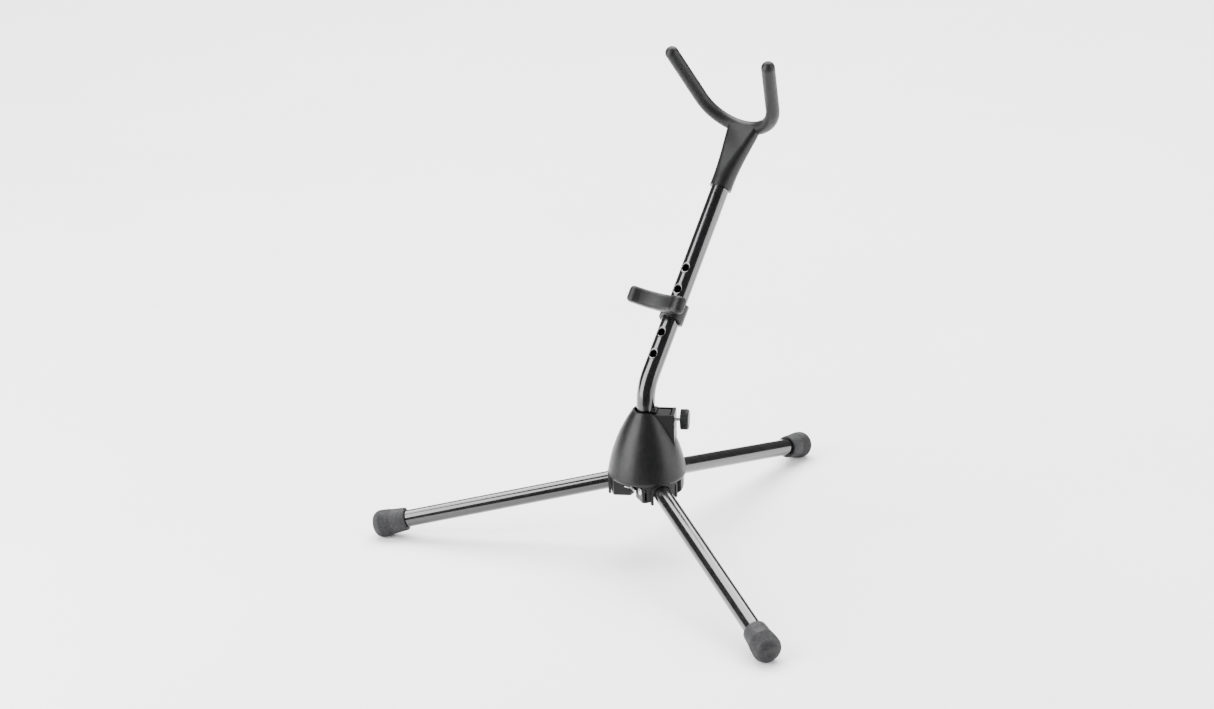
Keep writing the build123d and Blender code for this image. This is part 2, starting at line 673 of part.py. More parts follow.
with BuildPart() as fork_rod:
    add(fork_bar(FORK_ROD_DIAMETER))
finish(fork_rod, "fork_rod")

# The stud joins the rod to the mast tube.
with BuildPart() as fork_stud:
    with BuildSketch(mast_plane(STUD_START)):
        Circle(MAST_RADIUS - MAST_WALL)
    extrude(amount=STUD_SHOULDER - STUD_START)
    with BuildSketch(mast_plane(STUD_SHOULDER - 2, STUD_NECK_FORWARD)):
        Circle(STUD_NECK_RADIUS)
    extrude(amount=STUD_END - STUD_SHOULDER + 2)
    add(fork_rod.part, mode=Mode.SUBTRACT)
finish(fork_stud, "fork_stud")

with BuildPart() as fork_form:
    add(fork_bar(FORK_SLEEVE_DIAMETER))
    for side in (-1, 1):
        with Locations(FORK_PLANE.from_local_coords((side * FORK_TIP[0], FORK_TIP[1]))):
            Sphere(FORK_SLEEVE_DIAMETER / 2)

with BuildPart() as fork_sleeve:
    add(fork_form.part)
    add(fork_rod.part, mode=Mode.SUBTRACT)
    add(fork_stud.part, mode=Mode.SUBTRACT)
finish(fork_sleeve, "fork_sleeve")

# The socket grows from a round mouth on the tube to a broad saddle under the fork.
with BuildPart() as fork_socket:
    for along, forward, width, depth, corner in SOCKET_SECTIONS:
        with BuildSketch(mast_plane(along, forward)):
            RectangleRounded(width, depth, corner)
    loft()
    add(fork_form.part, mode=Mode.SUBTRACT)
    with BuildSketch(mast_plane(SOCKET_BOTTOM - 1)):
        Circle(MAST_RADIUS + 0.02)
    extrude(amount=MAST_TUBE_TOP - SOCKET_BOTTOM + 1, mode=Mode.SUBTRACT)
    add(fork_stud.part, mode=Mode.SUBTRACT)
finish(fork_socket, "fork_socket")

# ---------------------------------------------------------------- lower rest


def rest_arc(thickness, half_span):
    """The crescent's outline across the mast, thick and long as asked."""
    rise = REST_TIP_FORWARD - REST_MIDDLE_FORWARD
    tip_forward = REST_MIDDLE_FORWARD + rise * (half_span / REST_HALF_SPAN) ** 2
    arc = ThreePointArc((-half_span, tip_forward), (0, REST_MIDDLE_FORWARD), (half_span, tip_forward))
    return SlotArc(arc, thickness)


BRACKET_CRESCENT = rest_arc(6, REST_HALF_SPAN - 2)
PAD_CRESCENT = rest_arc(REST_THICKNESS, REST_HALF_SPAN)

with BuildPart() as rest_bracket:
    with BuildSketch(mast_plane(COLLAR_BOTTOM)):
        Circle(COLLAR_OUTER_RADIUS)
    extrude(amount=COLLAR_TOP - COLLAR_BOTTOM)
    fillet(rest_bracket.edges().filter_by(GeomType.CIRCLE), radius=0.8)
    with BuildSketch(mast_plane(REST_CENTRE - 5.5)):
        with Locations((0, 8)):
            Rectangle(15, REST_MIDDLE_FORWARD - 8, align=(Align.CENTER, Align.MIN))
    extrude(amount=11)
    with BuildSketch(mast_plane(REST_CENTRE - 4)):
        add(BRACKET_CRESCENT)
    extrude(amount=8)
    with BuildSketch(mast_plane(COLLAR_BOTTOM - 1)):
        Circle(COLLAR_INNER_RADIUS)
    extrude(amount=COLLAR_TOP - COLLAR_BOTTOM + 2, mode=Mode.SUBTRACT)

    # The collar's lower edge rises obliquely towards the front.
    with BuildSketch(mast_side_plane()):
        Polygon(
            (-4, COLLAR_BOTTOM - 1),
            (COLLAR_OUTER_RADIUS + 2, COLLAR_BOTTOM - 1),
            (COLLAR_OUTER_RADIUS + 2, COLLAR_FRONT_BOTTOM),
            align=None,
        )
    extrude(amount=COLLAR_OUTER_RADIUS + 1, both=True, mode=Mode.SUBTRACT)

    # A window in the stem holds the snap tongue.
    with BuildSketch(mast_side_plane()):
        with Locations((COLLAR_INNER_RADIUS - 1, HOLE_MIDDLE)):
            Rectangle(5, 9, align=(Align.MIN, Align.CENTER))
    extrude(amount=4, both=True, mode=Mode.SUBTRACT)
finish(rest_bracket, "rest_bracket")

# The soft pad round the crescent.
with BuildPart() as rest_pad:
    with BuildSketch(mast_plane(REST_CENTRE - REST_HEIGHT / 2)):
        add(PAD_CRESCENT)
    extrude(amount=REST_HEIGHT)
    fillet(rest_pad.edges().group_by(Axis(mast_point(0), MAST_DIRECTION))[0], radius=4)
    fillet(rest_pad.edges().group_by(Axis(mast_point(0), MAST_DIRECTION))[-1], radius=4)
    add(rest_bracket.part, mode=Mode.SUBTRACT)
finish(rest_pad, "rest_pad")

# The tongue's peg snaps into the mast's holes.
with BuildPart() as snap_tongue:
    with BuildSketch(mast_side_plane()):
        with Locations((COLLAR_INNER_RADIUS + 1.6, HOLE_MIDDLE)):
            Rectangle(1.8, 8.4, align=(Align.MIN, Align.CENTER))
    extrude(amount=3.6, both=True)
    with BuildSketch(Plane(origin=mast_point(HOLE_MIDDLE, 7.4), x_dir=(1, 0, 0), z_dir=MAST_FORWARD)):
        Circle(3.2)
    extrude(amount=COLLAR_INNER_RADIUS + 2 - 7.4)
finish(snap_tongue, "snap_tongue")

# ---------------------------------------------------------------- clamp

with BuildPart() as clamp_jaw:
    with BuildSketch(radial_plane(CLAMP_AZIMUTH)):
        with Locations((JAW_START, JAW_FLOOR)):
            Rectangle(JAW_END - JAW_START, JAW_TOP - JAW_FLOOR, align=(Align.MIN, Align.MIN))
    extrude(amount=JAW_HALF_WIDTH, both=True)
    with BuildSketch(radial_plane(CLAMP_AZIMUTH)):
        with Locations((JAW_LIP_START, JAW_FLOOR)):
            Rectangle(JAW_LIP_WIDTH, LIP_TOP - JAW_FLOOR, align=(Align.MIN, Align.MIN))
    extrude(amount=JAW_HALF_WIDTH - 1.2, both=True)
    with BuildSketch(Plane.XY.offset(JAW_FLOOR - 1)):
        Circle(MAST_RADIUS + 0.3)
    extrude(amount=60, mode=Mode.SUBTRACT)
    slot_radius = SCREW_DIAMETER / 2 + SCREW_GAP
    with BuildSketch(clamp_plane(JAW_SCREW_SLOT_START)):
        Circle(slot_radius)
        Rectangle(2 * slot_radius, 30, align=(Align.CENTER, Align.MAX))
    extrude(amount=10, mode=Mode.SUBTRACT)
    head_slot_radius = SCREW_HEAD_RADIUS + SCREW_GAP
    with BuildSketch(clamp_plane(JAW_HEAD_SLOT_START)):
        Circle(head_slot_radius)
        Rectangle(2 * head_slot_radius, 30, align=(Align.CENTER, Align.MAX))
    extrude(amount=JAW_SCREW_SLOT_START - JAW_HEAD_SLOT_START + 0.1, mode=Mode.SUBTRACT)
finish(clamp_jaw, "clamp_jaw")

with BuildPart() as clamp_nut:
    with BuildSketch(clamp_plane(CLAMP_REACH - CLAMP_END_WALL)):
        Rectangle(NUT_WIDTH, NUT_WIDTH)
        Circle(SCREW_DIAMETER / 2 + SCREW_GAP, mode=Mode.SUBTRACT)
    extrude(amount=NUT_THICKNESS)
finish(clamp_nut, "clamp_nut")

with BuildPart() as clamp_screw:
    with BuildSketch(clamp_plane(SCREW_START)):
        Circle(SCREW_HEAD_RADIUS)
    extrude(amount=SCREW_HEAD_THICKNESS)
    with BuildSketch(clamp_plane(SCREW_START)):
        Circle(SCREW_DIAMETER / 2)
    extrude(amount=KNOB_START + KNOB_LENGTH - 3 - SCREW_START)
finish(clamp_screw, "clamp_screw")

with BuildPart() as knob:
    with BuildSketch(clamp_plane(KNOB_START)):
        Circle(KNOB_DIAMETER / 2)
        with PolarLocations(KNOB_DIAMETER / 2 + 0.35, KNOB_NOTCHES):
            Circle(KNOB_NOTCH_RADIUS, mode=Mode.SUBTRACT)
    extrude(amount=KNOB_LENGTH - KNOB_CROWN_HEIGHT)
    with BuildSketch(clamp_plane(KNOB_START + KNOB_LENGTH - KNOB_CROWN_HEIGHT)):
        Circle(KNOB_DIAMETER / 2 - 0.5)
    extrude(amount=KNOB_CROWN_HEIGHT)
    screw_axis = Axis(clamp_plane(0).origin, clamp_plane(0).z_dir)
    fillet(knob.edges().filter_by(GeomType.CIRCLE).sort_by(screw_axis)[-1], radius=2.2)
    with BuildSketch(clamp_plane(KNOB_START - 1)):
        Circle(SCREW_DIAMETER / 2)
    extrude(amount=KNOB_LENGTH - 2, mode=Mode.SUBTRACT)
finish(knob, "knob")
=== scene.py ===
import bpy
import bmesh
import json
from math import atan2, cos, degrees, hypot, pi, radians, sin, sqrt, tan
from mathutils import Matrix, Vector


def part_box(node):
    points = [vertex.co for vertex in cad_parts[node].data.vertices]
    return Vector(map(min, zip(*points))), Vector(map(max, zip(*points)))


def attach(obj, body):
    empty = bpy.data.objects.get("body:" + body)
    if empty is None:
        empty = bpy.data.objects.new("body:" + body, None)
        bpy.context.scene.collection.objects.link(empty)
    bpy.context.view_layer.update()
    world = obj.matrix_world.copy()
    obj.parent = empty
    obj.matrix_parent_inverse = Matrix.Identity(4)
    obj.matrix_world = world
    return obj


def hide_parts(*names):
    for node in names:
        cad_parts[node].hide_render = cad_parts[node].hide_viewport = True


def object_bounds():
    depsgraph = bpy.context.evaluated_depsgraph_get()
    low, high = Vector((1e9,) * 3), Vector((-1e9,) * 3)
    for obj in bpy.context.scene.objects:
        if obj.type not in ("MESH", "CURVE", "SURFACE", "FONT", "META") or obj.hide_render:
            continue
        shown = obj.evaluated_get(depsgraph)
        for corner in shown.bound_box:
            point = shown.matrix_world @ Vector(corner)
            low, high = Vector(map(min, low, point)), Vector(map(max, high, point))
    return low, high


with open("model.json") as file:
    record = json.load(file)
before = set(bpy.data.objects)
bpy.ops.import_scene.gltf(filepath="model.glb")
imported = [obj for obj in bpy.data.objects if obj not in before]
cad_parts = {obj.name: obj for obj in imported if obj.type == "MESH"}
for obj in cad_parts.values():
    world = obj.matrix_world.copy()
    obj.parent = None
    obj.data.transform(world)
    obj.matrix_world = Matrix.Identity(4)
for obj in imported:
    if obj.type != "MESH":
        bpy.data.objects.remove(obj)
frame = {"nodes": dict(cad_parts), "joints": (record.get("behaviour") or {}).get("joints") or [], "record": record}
cad_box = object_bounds()

RECORD = frame["record"]
JOINTS = {joint["name"]: joint for joint in frame["joints"]}
LEGS = ("rear", "left", "right")

SHARP_ANGLE = radians(38)

# Camera: its angles round the object, its distance from the origin and its offset in its own plane
CAMERA_AZIMUTH = radians(38.4)
CAMERA_ELEVATION = radians(20.9)
CAMERA_ROLL = radians(-1.6)
CAMERA_DISTANCE = 2.527
CAMERA_OFFSET = (-0.0436, 0.1976)
CAMERA_LENS = 72.0

# Legs and feet, in metres along the leg from the hub's axis
LEG_SLOPE = radians(13.69)
FOOT_START = 0.2633
FOOT_WIDEST = 0.2878
FOOT_END = 0.2999
FOOT_MOUTH_RADIUS = 0.0121
FOOT_WIDEST_RADIUS = 0.01441
FOOT_SHOULDER_RADIUS = 0.00946
FOOT_LIP_RADIUS = 0.0011
FOOT_CORE_START = 0.03
FOOT_DISH = 0.0006
TUBE_RADIUS = 0.009
TUBE_GAP = 0.00003
FOOT_TURNS = 96
FOOT_RIBS = 11
RIBS_PAST_SHOULDER = 0.002
RIB_PITCH = 0.00118
RIB_DEPTH = 0.00034
RIB_SECTION = ((0.0, 1.0), (0.18, 0.25), (0.34, 0.0), (0.66, 0.0), (0.82, 0.25))

# Lower rest, in the frame of the leaning mast
MAST_DATUM = Vector((0, 0.01873, 0.2))
REST_CENTRE = 0.0526
PAD_HALF_HEIGHT = 0.0085
PAD_HALF_THICKNESS = 0.0068
PAD_CORNER = 0.004
PAD_HALF_SPAN = 0.0275
PAD_MIDDLE_FORWARD = 0.029
PAD_TIP_FORWARD = 0.0365
PAD_GROOVES = 3
PAD_GROOVE_START = 0.0012
PAD_GROOVE_PITCH = 0.0021
PAD_GROOVE_DEPTH = 0.00045
PAD_GROOVE_SECTION = ((-0.00042, False), (-0.00024, True), (0.00024, True), (0.00042, False))
PAD_PLAIN_STATIONS = 9
PAD_PLAIN_MARGIN = 0.002
PAD_TIP_STEPS = 16

# Mast holes, and the rounded lip round each: its mouth is longer along the mast than across it
MAST_RADIUS = 0.0095
HOLES = 5
HOLE_MIDDLE = 0.0512
HOLE_PITCH = 0.02375
LIP_INNER_RADIUS = 0.0037
LIP_MOUTH_WIDTH = 0.00468
LIP_MOUTH_LENGTH = 0.0061
LIP_SKIRT = 0.0009
LIP_DEPTH = 0.002
LIP_PROUD = 0.00004
LIP_SUNK = 0.0002
LIP_STEPS = 8
LIP_TURNS = 64

# Knob
KNOB_RIDGES = 36
RIDGE_DEPTH = 0.00055
KNOB_EDGE = 0.0021
KNOB_BACK_EDGE = 0.0009
KNOB_BORE = 0.002
RIM_FADE_START = 0.0012
RIM_FADE_LENGTH = 0.0018
DEEP_FADE_END = 0.0016
DEEP_FADE_LENGTH = 0.0012

# Studio: floor, dark card, and the strength of the surroundings as light and as the camera sees them
FLOOR_HALF_SIZE = 14.0
FLOOR_DROP = 0.0002
CARD_HEIGHT = 0.001
CARD_ENDS = ((0.38, 0.34), (4.5, 3.6))
WORLD_LIGHT = 0.2
WORLD_SEEN = 0.8


# ---------------------------------------------------------------- materials

def new_material(name, color, roughness, **inputs):
    """A principled material with constant values on its own sockets."""
    material = bpy.data.materials.new(name)
    material.use_nodes = True
    shader = material.node_tree.nodes["Principled BSDF"]
    shader.inputs["Base Color"].default_value = (*color, 1)
    shader.inputs["Roughness"].default_value = roughness
    for socket, value in inputs.items():
        shader.inputs[socket.replace("_", " ")].default_value = value
    return material, material.node_tree, shader


def object_coordinates(tree, scale=(1, 1, 1)):
    """Object coordinates, stretched by a mapping."""
    coordinates = tree.nodes.new("ShaderNodeTexCoord")
    mapping = tree.nodes.new("ShaderNodeMapping")
    mapping.inputs["Scale"].default_value = scale
    tree.links.new(coordinates.outputs["Object"], mapping.inputs["Vector"])
    return mapping.outputs["Vector"]


def noise(tree, vector, scale, detail=3.0, rough=0.55):
    """The factor of a noise texture."""
    node = tree.nodes.new("ShaderNodeTexNoise")
    node.inputs["Scale"].default_value = scale
    node.inputs["Detail"].default_value = detail
    node.inputs["Roughness"].default_value = rough
    tree.links.new(vector, node.inputs["Vector"])
    return node.outputs["Fac"]


def cells(tree, vector, scale):
    """The distance output of a smooth cell texture, for pebbled grain."""
    node = tree.nodes.new("ShaderNodeTexVoronoi")
    node.feature = "SMOOTH_F1"
    node.inputs["Scale"].default_value = scale
    tree.links.new(vector, node.inputs["Vector"])
    return node.outputs["Distance"]


def spread(tree, value, low, high, start=0.3, end=0.7):
    """A value remapped from start..end to low..high."""
    node = tree.nodes.new("ShaderNodeMapRange")
    for socket, number in (("From Min", start), ("From Max", end), ("To Min", low), ("To Max", high)):
        node.inputs[socket].default_value = number
    tree.links.new(value, node.inputs["Value"])
    return node.outputs["Result"]


def tint(tree, shader, value, dark, light, start=0.3, end=0.7):
    """The base colour runs from dark to light with a value."""
    ramp = tree.nodes.new("ShaderNodeValToRGB")
    ramp.color_ramp.elements[0].position = start
    ramp.color_ramp.elements[0].color = (*dark, 1)
    ramp.color_ramp.elements[1].position = end
    ramp.color_ramp.elements[1].color = (*light, 1)
    tree.links.new(value, ramp.inputs["Fac"])
    tree.links.new(ramp.outputs["Color"], shader.inputs["Base Color"])


def bump(tree, shader, height, distance, strength=1.0, below=None):
    """A bump on the shader, or on top of another bump."""
    node = tree.nodes.new("ShaderNodeBump")
    node.inputs["Distance"].default_value = distance
    node.inputs["Strength"].default_value = strength
    tree.links.new(height, node.inputs["Height"])
    if below is not None:
        tree.links.new(below.outputs["Normal"], node.inputs["Normal"])
    tree.links.new(node.outputs["Normal"], shader.inputs["Normal"])
    return node


def black_paint():
    """Glossy black powder coat: a faint orange peel and slightly uneven gloss."""
    material, tree, shader = new_material("black_paint", (0.006, 0.006, 0.0065), 0.16, Coat_Weight=0.6)
    shader.inputs["Coat Roughness"].default_value = 0.06
    vector = object_coordinates(tree)
    wear = noise(tree, vector, 60, 4)
    tint(tree, shader, wear, (0.0015, 0.0015, 0.0017), (0.004, 0.004, 0.0044))
    tree.links.new(spread(tree, noise(tree, vector, 240, 3), 0.12, 0.22), shader.inputs["Roughness"])
    bump(tree, shader, noise(tree, vector, 700, 2), 0.00002, 0.5)
    return material


def grained_plastic(name, dark, light, gloss, grain, depth):
    """Moulded plastic with a fine pebbled grain that breaks up its shine."""
    material, tree, shader = new_material(name, light, gloss, Specular_IOR_Level=0.2)
    vector = object_coordinates(tree)
    tint(tree, shader, noise(tree, vector, 900, 4), dark, light)
    rough = spread(tree, noise(tree, vector, 160, 3), gloss - 0.05, gloss + 0.07)
    tree.links.new(rough, shader.inputs["Roughness"])
    pebbles = bump(tree, shader, cells(tree, vector, grain), depth, 0.7)
    bump(tree, shader, noise(tree, vector, 2.4 * grain, 2), depth * 0.6, 0.5, below=pebbles)
    return material


def foot_rubber():
    """Matte rubber with a dusty bloom and a fine rough grain."""
    material, tree, shader = new_material(
        "foot_rubber", (0.016, 0.016, 0.017), 0.62, Specular_IOR_Level=0.25
    )
    vector = object_coordinates(tree)
    tint(tree, shader, noise(tree, vector, 420, 5), (0.009, 0.009, 0.0095), (0.024, 0.024, 0.0255))
    tree.links.new(spread(tree, noise(tree, vector, 130, 4), 0.5, 0.74), shader.inputs["Roughness"])
    bump(tree, shader, noise(tree, vector, 1900, 3), 0.00007, 0.7)
    return material


def bright_steel():
    """Zinc-plated steel: fine turning lines and a mottled plating."""
    material, tree, shader = new_material("bright_steel", (0.62, 0.62, 0.63), 0.3, Metallic=1.0)
    fine = object_coordinates(tree, (260, 260, 4200))
    mottled = object_coordinates(tree)
    tint(tree, shader, noise(tree, mottled, 220, 4), (0.45, 0.45, 0.47), (0.75, 0.75, 0.76))
    tree.links.new(spread(tree, noise(tree, fine, 1, 2), 0.2, 0.42), shader.inputs["Roughness"])
    bump(tree, shader, noise(tree, fine, 1, 2), 0.00002, 0.4)
    return material


def pale_floor():
    """A plain pale studio floor with a barely visible unevenness."""
    material, tree, shader = new_material("pale_floor", (0.86, 0.86, 0.86), 0.7)
    vector = object_coordinates(tree)
    tint(tree, shader, noise(tree, vector, 2.5, 2), (0.85, 0.85, 0.85), (0.88, 0.88, 0.88))
    return material


MATERIALS = {
    "black_paint": black_paint(),
    "grained_plastic": grained_plastic(
        "grained_plastic", (0.003, 0.003, 0.0033), (0.0075, 0.0075, 0.008),
        gloss=0.34, grain=1500, depth=0.00009,
    ),
    "inner_plastic": grained_plastic(
        "inner_plastic", (0.0015, 0.0015, 0.0017), (0.004, 0.004, 0.0043),
        gloss=0.37, grain=1100, depth=0.00005,
    ),
    "knob_plastic": grained_plastic(
        "knob_plastic", (0.002, 0.002, 0.0022), (0.005, 0.005, 0.0054),
        gloss=0.38, grain=1300, depth=0.00006,
    ),
    "soft_grip": grained_plastic(
        "soft_grip", (0.0045, 0.0045, 0.0048), (0.011, 0.011, 0.0117),
        gloss=0.42, grain=1700, depth=0.00012,
    ),
    "foot_rubber": foot_rubber(),
    "bright_steel": bright_steel(),
}


def paint(piece, slot):
    """Give a piece its slot's material."""
    piece.data.materials.clear()
    piece.data.materials.append(MATERIALS[slot])


def finish_cad_nodes():
    """Every CAD node gets the material of its slot in the record."""
    slots = {part["node"]: part["material_slot"] for part in RECORD["subparts"]}
    for name, node in frame["nodes"].items():
        for index in range(len(node.material_slots)):
            node.material_slots[index].material = MATERIALS[slots[name]]
        if not node.material_slots:
            raise RuntimeError(f"{name} has no material slot")


# ---------------------------------------------------------------- mesh helpers

def mesh_piece(name, vertices, faces, slot, body):
    """A smooth-shaded mesh piece that rides on a body."""
    mesh = bpy.data.meshes.new(name)
    mesh.from_pydata([tuple(v) for v in vertices], [], faces)
    shape = bmesh.new()
    shape.from_mesh(mesh)
    bmesh.ops.remove_doubles(shape, verts=shape.verts, dist=1e-6)
    bmesh.ops.dissolve_degenerate(shape, edges=shape.edges, dist=1e-7)
    bmesh.ops.recalc_face_normals(shape, faces=shape.faces)
    shape.to_mesh(mesh)
    shape.free()
    mesh.set_sharp_from_angle(angle=SHARP_ANGLE)
    piece = bpy.data.objects.new(name, mesh)
    bpy.context.scene.collection.objects.link(piece)
    paint(piece, slot)
    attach(piece, body)
    return piece


def strip_faces(rows, columns, wrap_rows=True, wrap_columns=False):
    """Quads of a grid of points, row by row."""
    faces = []
    for row in range(rows if wrap_rows else rows - 1):
        for column in range(columns if wrap_columns else columns - 1):
            after = (row + 1) % rows
            beside = (column + 1) % columns
            faces.append((
                row * columns + column,
                row * columns + beside,
                after * columns + beside,
                after * columns + column,
            ))
    return faces


def revolved(name, profile, origin, axis, turns, slot, body, ripple=None, floor=None):
    """A closed profile of (along, radius) points turned round an axis.

    A ripple takes some depth off the radius at each angle and place. With a floor, no point goes
    below it.
    """
    axis = Vector(axis).normalized()
    across = axis.orthogonal().normalized()
    beside = axis.cross(across)
    points = []
    for turn in range(turns):
        angle = 2 * pi * turn / turns
        outwards = across * cos(angle) + beside * sin(angle)
        for along, radius in profile:
            depth = ripple(angle, along, radius) if ripple else 0.0
            point = Vector(origin) + axis * along + outwards * (radius - depth)
            if floor is not None:
                point.z = max(point.z, floor)
            points.append(point)
    faces = strip_faces(turns, len(profile), wrap_columns=True)
    return mesh_piece(name, points, faces, slot, body)


def arc_points(centre, radius, start, end, steps):
    """Points of an arc in the (along, radius) plane; angles in degrees."""
    for step in range(steps + 1):
        angle = radians(start + (end - start) * step / steps)
        yield (centre[0] + radius * cos(angle), centre[1] + radius * sin(angle))


# ---------------------------------------------------------------- feet

def foot_profile():
    """The foot's section: mouth, taper, fine ribs, rounded shoulder and end face."""
    shoulder = FOOT_SHOULDER_RADIUS
    centre = (FOOT_END - shoulder, FOOT_WIDEST_RADIUS - shoulder)
    lip = FOOT_LIP_RADIUS
    profile = [
        (FOOT_START + 0.002, TUBE_RADIUS + TUBE_GAP),
        (FOOT_START + 0.0004, TUBE_RADIUS + 0.0004),
    ]
    profile += arc_points((FOOT_START + lip, FOOT_MOUTH_RADIUS - lip), lip, 180, 100, 6)
    taper = (FOOT_WIDEST_RADIUS - FOOT_MOUTH_RADIUS) / (FOOT_WIDEST - FOOT_START)
    ribs_start = centre[0] + RIBS_PAST_SHOULDER - FOOT_RIBS * RIB_PITCH
    for rib in range(FOOT_RIBS):
        start = ribs_start + rib * RIB_PITCH
        for share, depth in RIB_SECTION:
            along = start + share * RIB_PITCH
            radius = min(FOOT_WIDEST_RADIUS, FOOT_MOUTH_RADIUS + taper * (along - FOOT_START))
            if along > centre[0]:
                radius = centre[1] + sqrt(shoulder ** 2 - (along - centre[0]) ** 2)
            profile.append((along, radius - depth * RIB_DEPTH))
    reached = (profile[-1][0] - centre[0]) / shoulder
    past_ribs = 90 - degrees(reached + 0.06)
    profile += arc_points(centre, shoulder, past_ribs, 0, 14)
    profile += [
        (FOOT_END - FOOT_DISH, 0.003),
        (FOOT_END - FOOT_DISH, 0.0),
        (FOOT_START + FOOT_CORE_START, 0.0),
        (FOOT_START + FOOT_CORE_START, TUBE_RADIUS + TUBE_GAP),
    ]
    return profile


def make_feet():
    """A ribbed rubber foot for each leg, flat where it stands on the floor."""
    floor = cad_box[0].z
    for leg in LEGS:
        pivot = Vector(JOINTS[f"leg_fold_{leg}"]["pos_m"])
        reach = hypot(pivot.x, pivot.y)
        direction = Vector((
            pivot.x / reach * cos(LEG_SLOPE),
            pivot.y / reach * cos(LEG_SLOPE),
            -sin(LEG_SLOPE),
        ))
        hub_point = Vector((0, 0, pivot.z + reach * tan(LEG_SLOPE)))
        foot = revolved(
            f"ribbed_foot_{leg}", foot_profile(), hub_point, direction, FOOT_TURNS,
            "foot_rubber", f"leg_{leg}", floor=floor,
        )
        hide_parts(f"foot_{leg}")


# ---------------------------------------------------------------- lower rest

MAST_DIRECTION = Vector(JOINTS["rest_height"]["axis"]).normalized()
MAST_FORWARD = Vector((0, -MAST_DIRECTION.z, MAST_DIRECTION.y))


def pad_section(groove):
    """Half the pad's section, from the top's middle round the outside to the bottom's middle."""
    inset = PAD_GROOVE_DEPTH if groove else 0.0
    height = PAD_HALF_HEIGHT - inset
    reach = PAD_HALF_THICKNESS - inset
    flat = reach - PAD_CORNER
    section = [(0.0, height), (flat / 2, height)]
    section += arc_points((flat, height - PAD_CORNER), PAD_CORNER, 90, 0, 8)
    section += [(reach, 0.0)]
    section += arc_points((flat, PAD_CORNER - height), PAD_CORNER, 0, -90, 8)
    section += [(flat / 2, -height), (0.0, -height)]
    return section


def pad_stations():
    """Places along the crescent's centre line as (x, grooved), with fine grooves near each tip."""
    marks = {(-PAD_HALF_SPAN, False), (PAD_HALF_SPAN, False)}
    for number in range(PAD_GROOVES):
        middle = PAD_HALF_SPAN - PAD_GROOVE_START - number * PAD_GROOVE_PITCH
        for offset, grooved in PAD_GROOVE_SECTION:
            marks.add((middle + offset, grooved))
            marks.add((-middle - offset, grooved))
    plain_half_span = PAD_HALF_SPAN - PAD_PLAIN_MARGIN - (PAD_GROOVES - 1) * PAD_GROOVE_PITCH
    for number in range(-PAD_PLAIN_STATIONS, PAD_PLAIN_STATIONS + 1):
        marks.add((plain_half_span * number / (PAD_PLAIN_STATIONS + 0.5), False))
    return sorted(marks)


def make_pad():
    """The soft crescent pad: rounded edges, round tips and three fine grooves near each tip."""
    rise = PAD_TIP_FORWARD - PAD_MIDDLE_FORWARD
    bend_radius = (PAD_HALF_SPAN ** 2 + rise ** 2) / (2 * rise)
    bend_centre = PAD_MIDDLE_FORWARD + bend_radius

    def station(x):
        """The centre line's point at a place along the chord, and the way out, square to the line."""
        forward = bend_centre - sqrt(bend_radius ** 2 - x ** 2)
        return (x, forward), (x / bend_radius, (forward - bend_centre) / bend_radius)

    ring = []
    stations = pad_stations()
    for x, grooved in stations:
        centre, outward = station(x)
        ring.append((centre, outward, grooved))
    for tip_side in (1, -1):
        tip, outward = station(tip_side * PAD_HALF_SPAN)
        start = atan2(outward[1], outward[0]) if tip_side == 1 else atan2(-outward[1], -outward[0])
        for step in range(1, PAD_TIP_STEPS):
            angle = start + pi * step / PAD_TIP_STEPS
            ring.append((tip, (cos(angle), sin(angle)), False))
        if tip_side == 1:
            for x, grooved in reversed(stations):
                centre, outward = station(x)
                ring.append((centre, (-outward[0], -outward[1]), grooved))
    points = []
    for centre, outward, grooved in ring:
        for reach, height in pad_section(grooved):
            side = centre[0] + outward[0] * reach
            forward = centre[1] + outward[1] * reach
            along = REST_CENTRE + height
            points.append(
                MAST_DATUM + MAST_DIRECTION * along + MAST_FORWARD * forward + Vector((side, 0, 0))
            )
    faces = strip_faces(len(ring), len(pad_section(False)))
    pad = mesh_piece("crescent_pad", points, faces, "soft_grip", "rest")
    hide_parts("rest_pad")


# ---------------------------------------------------------------- mast holes

def lip_section(mouth):
    """The lip's closed section as (distance from the hole's middle, drop below the tube's surface).

    A thin skirt lies on the tube, a quarter round leads down into the hole, and the last two points are
    its underside.
    """
    section = [
        (mouth + LIP_SKIRT, LIP_SUNK),
        (mouth + 0.8 * LIP_SKIRT, -LIP_PROUD),
        (mouth + 0.4 * LIP_SKIRT, -LIP_PROUD),
    ]
    for step in range(LIP_STEPS + 1):
        share = sin(pi / 2 * step / LIP_STEPS)
        drop = LIP_DEPTH * (1 - sqrt(max(0.0, 1 - share ** 2)))
        section.append((mouth + (LIP_INNER_RADIUS - mouth) * share, drop - LIP_PROUD))
    section += [(LIP_INNER_RADIUS + 0.0004, LIP_DEPTH), (mouth - 0.0001, 0.0011)]
    return section


def make_hole_lips():
    """A rounded, painted lip that follows the tube's surface round each of the mast's five holes."""
    for number in range(HOLES):
        origin = MAST_DATUM + MAST_DIRECTION * (HOLE_MIDDLE + (number - HOLES // 2) * HOLE_PITCH)
        points = []
        for turn in range(LIP_TURNS):
            angle = 2 * pi * turn / LIP_TURNS
            mouth = LIP_MOUTH_WIDTH + (LIP_MOUTH_LENGTH - LIP_MOUTH_WIDTH) * cos(angle) ** 2
            for reach, drop in lip_section(mouth):
                side = reach * sin(angle)
                height = sqrt(MAST_RADIUS ** 2 - side ** 2) - drop
                points.append(
                    origin
                    + MAST_DIRECTION * (reach * cos(angle))
                    + MAST_FORWARD * height
                    + Vector((side, 0, 0))
                )
        faces = strip_faces(LIP_TURNS, len(lip_section(LIP_MOUTH_WIDTH)), wrap_columns=True)
        mesh_piece(f"hole_lip_{number + 1}", points, faces, "black_paint", "mast")


